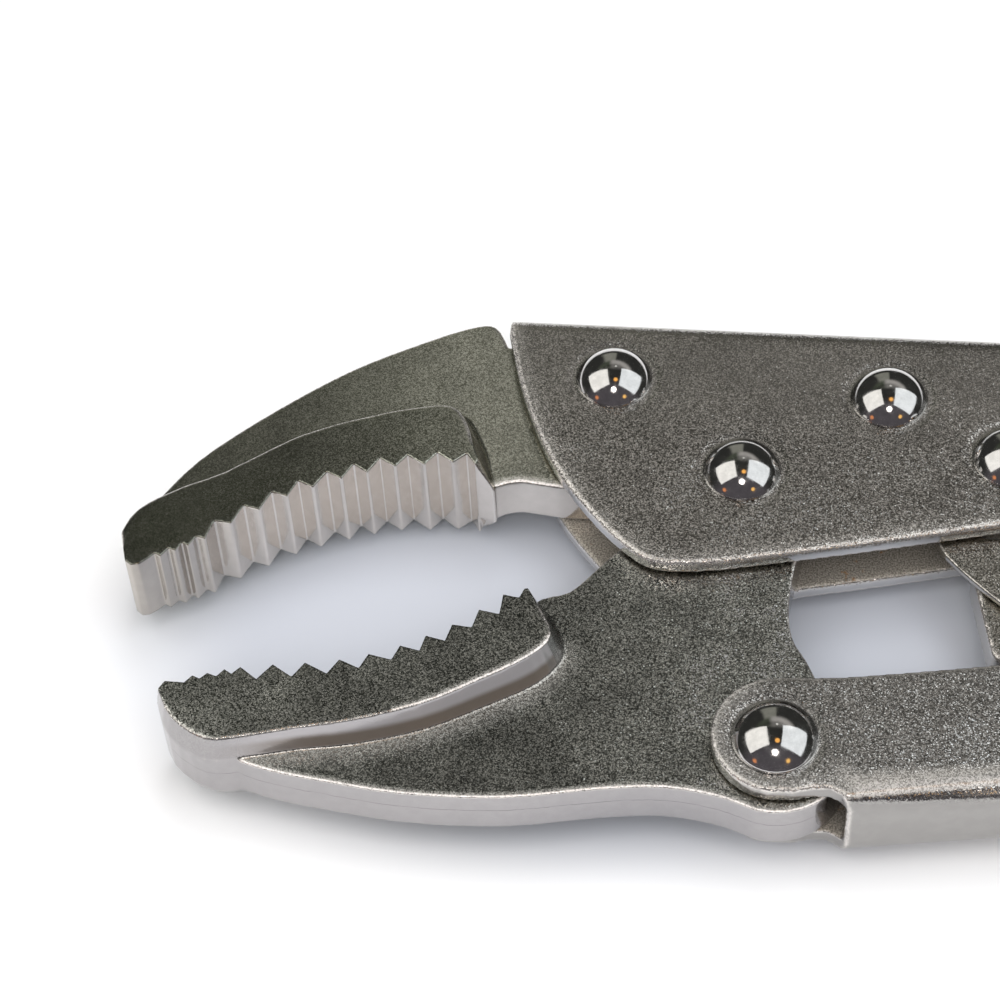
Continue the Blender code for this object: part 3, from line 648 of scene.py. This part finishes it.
solid_piece("upper_jaw", "upper_handle", upper_forged, "forged_jaw", depth=9, rounds=12, grip=UPPER_GRIP,
            painted_sheen=throat, keep=0.5)
solid_piece("lower_jaw", "lower_jaw", lower_forged, "forged_jaw", depth=9, rounds=12, grip=LOWER_GRIP,
            painted_sheen=foot_of_step, keep=0.4)
solid_piece("upper_handle", "upper_handle", sheet, "plated_sheet", depth=9, rounds=5, shape=far_belly,
            painted_sheen=border_sheen, keep=0.5)
solid_piece("lower_handle", "lower_handle", lower_sheet, "plated_sheet", depth=9, rounds=5,
            shape=pressed_rings, painted_sheen=ear_sheen, keep=0.5)
solid_piece("toggle_link", "toggle_link", stamped, "stamped_link", rounds=3)
solid_piece("link_side_plate", "toggle_link", stamped, "stamped_link", depth=7, rounds=2)
solid_piece("release_lever", "release_lever", stamped, "stamped_link", depth=7, rounds=5)


# ---------------------------------------------------------------- rivets, screw, knob and spring

def dome(base, radius, height, steps=14):
    """Profile of a rivet head: a short upright rim, then part of a circle."""
    rim = 0.5
    bulge = (radius ** 2 + (height - rim) ** 2) / (2 * (height - rim))
    edge = math.asin(radius / bulge)
    points = [(radius + 0.22, base), (radius + 0.22, base + 0.15), (radius + 0.08, base + 0.36)]
    for i in range(steps):
        angle = edge * (1 - i / steps)
        points.append((bulge * math.sin(angle), base + height - bulge * (1 - math.cos(angle))))
    return points + [(0, base + height)]


def rivet_piece(node, center, radius, height, body):
    """A rivet with a head on each side of the sheet."""
    upper = [(3.0, SHEET_FACE)] + dome(SHEET_FACE, radius, height)
    profile = [(r, -z) for r, z in reversed(upper)] + upper
    made = turned(node + "_polished", profile, 64, center)
    made.data.set_sharp_from_angle(angle=math.radians(50))
    finish_piece(made, body, polished, "polished_rivet", node)


node_body = {}
for body, nodes in frame["record"]["behaviour"]["bodies"].items():
    for node in nodes:
        node_body[node] = body
for node, center in RIVETS.items():
    radius = EAR_RIVET_RADIUS if node == "handle_pivot_rivet" else RIVET_RADIUS
    rivet_piece(node, center, radius, RIVET_HEIGHT, node_body[node])
for node, center in INNER_RIVETS.items():
    rivet_piece(node, center, INNER_RIVET_RADIUS, INNER_RIVET_HEIGHT, node_body[node])

flush = [(0, -3.1), (1.35, -3.1), (1.5, -2.95), (1.5, 2.95), (1.35, 3.1), (0, 3.1)]
small = turned("link_plate_rivet_worked", flush, 32, LINK_PLATE_RIVET)
small.data.set_sharp_from_angle(angle=math.radians(40))
finish_piece(small, "toggle_link", stamped, "stamped_link", "link_plate_rivet")


def thread(radius, height, angle):
    """A V thread along the rod, run out at its front end."""
    phase = (height / THREAD_PITCH - angle / math.tau) % 1.0
    depth = THREAD_DEPTH * abs(2 * phase - 1)
    fade = min(max((height - THREAD_START) / 1.5, 0), 1)
    return radius - depth * fade


profile = [(0, 129.6), (1.4, 129.7), (2.6, 130.1), (3.8, 131.2), (4.3, 132.0)]
profile += [(4.6, 132.0 + 0.2 * i) for i in range(1, 210)] + [(0, 174.0)]
rod = turned("adjusting_screw_threaded", profile, 48, along_x=True, radial=thread)
finish_piece(rod, "adjusting_screw", turned_metal, "turned_screw", "adjusting_screw")


def knurl(radius, height, angle):
    """Crossed grooves round the grip of the knob."""
    if radius < 7.5 or not GRIP_START < height < GRIP_END:
        return radius
    turn = angle / math.tau * KNURL_COUNT
    run = (height - 168.0) / 1.15
    a = abs(((turn + run) % 1.0) * 2 - 1)
    b = abs(((turn - run) % 1.0) * 2 - 1)
    return radius - KNURL_DEPTH * (1 - min(a, b) ** 0.8)


profile = [(0, 174.3), (4.9, 174.3), (4.9, 166.5), (6.2, 166.5)]
profile += [(6.9, 166.8), (7.6, 167.5), (8.0, 168.0)]
profile += [(8.05, GRIP_START + 0.12 * i) for i in range(92)]
profile += [(8.0, 179.4), (7.6, 180.2), (6.9, 180.8), (6.2, 181.0)]
profile += [(3.2, 181.0), (2.7, 180.6), (2.6, 180.2), (2.6, 176.2), (2.2, 176.0), (0, 176.0)]
knob = turned("screw_knob_knurled", profile, 264, along_x=True, radial=knurl)
knob.data.set_sharp_from_angle(angle=math.radians(60))
finish_piece(knob, "screw_knob", turned_metal, "turned_screw", "screw_knob")


def spring_path():
    """From the hook in the lower jaw, along the coil, to the loop round the spring rivet."""
    start = Vector((*SPRING_HOOK, 0.0))
    anchor = Vector((*RIVETS["spring_anchor_rivet"], 0.0))
    along_it = (anchor - start).normalized()
    across = Vector((-along_it.y, along_it.x, 0.0))
    up = Vector((0, 0, 1))
    reach = (anchor - start).length
    first, last = reach * 0.45, reach - 8.0
    path = [start - up * 2.6, start - up * 1.4, start - up * 0.5 + along_it * 0.2, start + along_it * 1.2]
    path.append(start + along_it * (first - 2.6))
    steps = COIL_TURNS * TURN_STEPS
    for i in range(steps + 1):
        angle = math.tau * i / TURN_STEPS
        place = start + along_it * (first + (last - first) * i / steps)
        path.append(place + (across * math.sin(angle) + up * math.cos(angle)) * COIL_RADIUS)
    for degrees in range(200, -41, -15):
        angle = math.radians(degrees)
        path.append(anchor + (along_it * math.cos(angle) + across * math.sin(angle)) * LOOP_RADIUS)
    return path


def wire_piece(name, path):
    """A round wire along a path, with its ends closed."""
    vertices, faces = [], []
    normal = (path[1] - path[0]).orthogonal()
    for i, point in enumerate(path):
        tangent = (path[min(i + 1, len(path) - 1)] - path[max(i - 1, 0)]).normalized()
        normal = (normal - tangent * normal.dot(tangent)).normalized()
        side = tangent.cross(normal)
        for k in range(WIRE_SIDES):
            angle = math.tau * k / WIRE_SIDES
            vertices.append(point + (normal * math.cos(angle) + side * math.sin(angle)) * WIRE_RADIUS)
    for i in range(0, len(vertices) - WIRE_SIDES, WIRE_SIDES):
        for k in range(WIRE_SIDES):
            j = (k + 1) % WIRE_SIDES
            faces.append([i + k, i + j, i + WIRE_SIDES + j, i + WIRE_SIDES + k])
    faces.append(list(range(WIRE_SIDES)))
    faces.append(list(range(len(vertices) - WIRE_SIDES, len(vertices))))
    made = to_object(name, [tuple(v) for v in vertices], faces)
    made.data.shade_smooth()
    made.data.materials.append(wire)
    return made


# The hook and the coil meet between two points of the wire's path, and overlap a little there
HOOK_POINTS = 5
whole = spring_path()
coil = wire_piece("tension_spring_coiled", whole[HOOK_POINTS - 1:])
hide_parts("tension_spring")
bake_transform(coil)
overlap = whole[HOOK_POINTS - 1] * 0.97 + whole[HOOK_POINTS] * 0.03
tail = wire_piece("tension_spring_hook", whole[:HOOK_POINTS] + [overlap])
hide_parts("tension_spring")
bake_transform(tail)


# ---------------------------------------------------------------- floor, light and camera

def floor():
    """A pale floor with painted shade: a bluish grey patch round the jaws."""
    bpy.ops.mesh.primitive_plane_add(size=6.0, location=(0, 0, 0))
    made = bpy.context.object
    made.name = "floor"
    material = bpy.data.materials.new("floor")
    material.use_nodes = True
    tree = material.node_tree
    shader = tree.nodes["Principled BSDF"]
    place = add(tree, 'ShaderNodeTexCoord')
    middle = PIVOT + Vector((*FLOOR_SHADE_CENTER, 0.0)) * MM
    shrink = (1 / (FLOOR_SHADE_REACH[0] * MM), 1 / (FLOOR_SHADE_REACH[1] * MM), 0)
    moved = add(tree, 'ShaderNodeVectorMath', {0: place.outputs["Object"], 1: middle}, operation='SUBTRACT')
    shrunk = add(tree, 'ShaderNodeVectorMath', {0: moved.outputs[0], 1: shrink}, operation='MULTIPLY')
    reach = add(tree, 'ShaderNodeVectorMath', {0: shrunk.outputs[0]}, operation='LENGTH').outputs["Value"]
    color = mixed(tree, ramp(tree, reach, 0.70, 1.20), (0.575, 0.60, 0.665), (0.93, 0.935, 0.95))
    tree.links.new(color, shader.inputs["Base Color"])
    shader.inputs["Roughness"].default_value = 0.5
    shader.inputs["Specular IOR Level"].default_value = 0.2
    made.data.materials.append(material)


def heading(azimuth, elevation):
    """The direction of a place in the room. Azimuth runs from +Y towards +X."""
    a, e = math.radians(azimuth), math.radians(elevation)
    return Vector((math.sin(a) * math.cos(e), math.cos(a) * math.cos(e), math.sin(e)))


def softbox(name, azimuth, elevation, distance, width, height, power, color=(1, 1, 1), mirrored=True):
    """A flat soft light that faces the main pivot. Only a mirrored one shows in the metal."""
    direction = heading(azimuth, elevation)
    light = bpy.data.lights.new(name, 'AREA')
    light.shape = 'RECTANGLE'
    light.size, light.size_y = width, height
    light.energy = power
    light.color = color
    made = bpy.data.objects.new(name, light)
    made.location = PIVOT + direction * distance
    made.rotation_mode = 'QUATERNION'
    made.rotation_quaternion = direction.to_track_quat('Z', 'Y')
    made.visible_glossy = mirrored
    bpy.context.scene.collection.objects.link(made)


# Small bright things in the room: azimuth, elevation, radius in degrees, colour
SPOTS = [
    (178, 52, 6.0, (7.0, 6.6, 6.3)),
    (156, 78, 5.0, (1.3, 0.62, 0.15)),
    (145, 27, 4.5, (1.2, 0.68, 0.2)),
    (-135, 16, 4.5, (0.8, 0.3, 0.12)),
    (5, 62, 2.2, (0.9, 0.9, 0.85)),
]


def surroundings():
    """A dark room with a pale wall behind the object, darker to the left, as the flat faces mirror it."""
    world = bpy.data.worlds.new("room")
    world.use_nodes = True
    tree = world.node_tree
    place = add(tree, 'ShaderNodeTexCoord').outputs["Generated"]
    parts = add(tree, 'ShaderNodeSeparateXYZ', {0: place})
    right, back, up = parts.outputs
    behind = maths(tree, 'MULTIPLY', ramp(tree, back, 0.25, 0.5), ramp(tree, up, 0.60, 0.74))
    across = ramp(tree, right, -0.26, -0.06)
    wall = mixed(tree, across, (0.06, 0.068, 0.05), (0.38, 0.365, 0.345))
    wall = mixed(tree, ramp(tree, up, 0.77, 0.86), wall, mixed(tree, 0.5, wall, (0.0, 0.0, 0.0)))
    column = maths(tree, 'MULTIPLY', ramp(tree, right, -0.40, -0.30), ramp(tree, back, 0.3, 0.5))
    column = maths(tree, 'MULTIPLY', column, ramp(tree, right, -0.03, 0.03, 1.0, 0.0))
    column = maths(tree, 'MULTIPLY', column, ramp(tree, up, 0.12, 0.22))
    room = mixed(tree, ramp(tree, back, -0.6, -0.1, 1.0, 0.0), (0.030, 0.030, 0.028), (0.085, 0.078, 0.085))
    room = mixed(tree, column, room, (0.22, 0.22, 0.19))
    room = mixed(tree, behind, room, wall)
    for azimuth, elevation, radius, color in SPOTS:
        toward = add(tree, 'ShaderNodeVectorMath', {0: place, 1: heading(azimuth, elevation)},
                     operation='DOT_PRODUCT').outputs["Value"]
        outer, inner = math.cos(math.radians(radius * 1.25)), math.cos(math.radians(radius * 0.75))
        share = ramp(tree, toward, outer, inner)
        room = mixed(tree, share, room, color)
    tree.links.new(room, tree.nodes["Background"].inputs[0])
    tree.nodes["Background"].inputs[1].default_value = 1.0
    world.cycles.sampling_method = 'AUTOMATIC'
    bpy.context.scene.world = world


CAMERA_PLACE = Vector((2.2109, -216.894, 279.401))
CAMERA_RIGHT = Vector((0.9948747, 0.0925046, -0.0408324))
CAMERA_DOWN = Vector((0.0482249, -0.7890091, -0.6124859))
CAMERA_LENS = 104.4


def camera():
    """The photo's camera, placed from the main pivot. It was fitted to the rivet heads in the photo."""
    forward = CAMERA_RIGHT.cross(CAMERA_DOWN)
    data = bpy.data.cameras.new("camera")
    data.lens = CAMERA_LENS
    data.sensor_width = 36.0
    data.clip_start = 0.01
    made = bpy.data.objects.new("camera", data)
    turn = Matrix((CAMERA_RIGHT, -CAMERA_DOWN, -forward)).transposed()
    made.matrix_world = Matrix.Translation(PIVOT + CAMERA_PLACE * MM) @ turn.to_4x4()
    bpy.context.scene.collection.objects.link(made)
    bpy.context.scene.camera = made


floor()
surroundings()
softbox("softbox_left", -98, 49, 0.60, 0.52, 0.56, 0.95, (1.0, 0.98, 0.93))
softbox("softbox_right", 92, 47, 0.70, 0.70, 0.74, 1.6, (0.94, 0.98, 1.0))
softbox("fill_above", 180, 66, 0.90, 1.20, 1.20, 8.4, mirrored=False)
softbox("ceiling", 8, 71, 0.90, 0.32, 0.32, 1.5, mirrored=False)
camera()
bpy.context.scene.view_settings.view_transform = 'Standard'
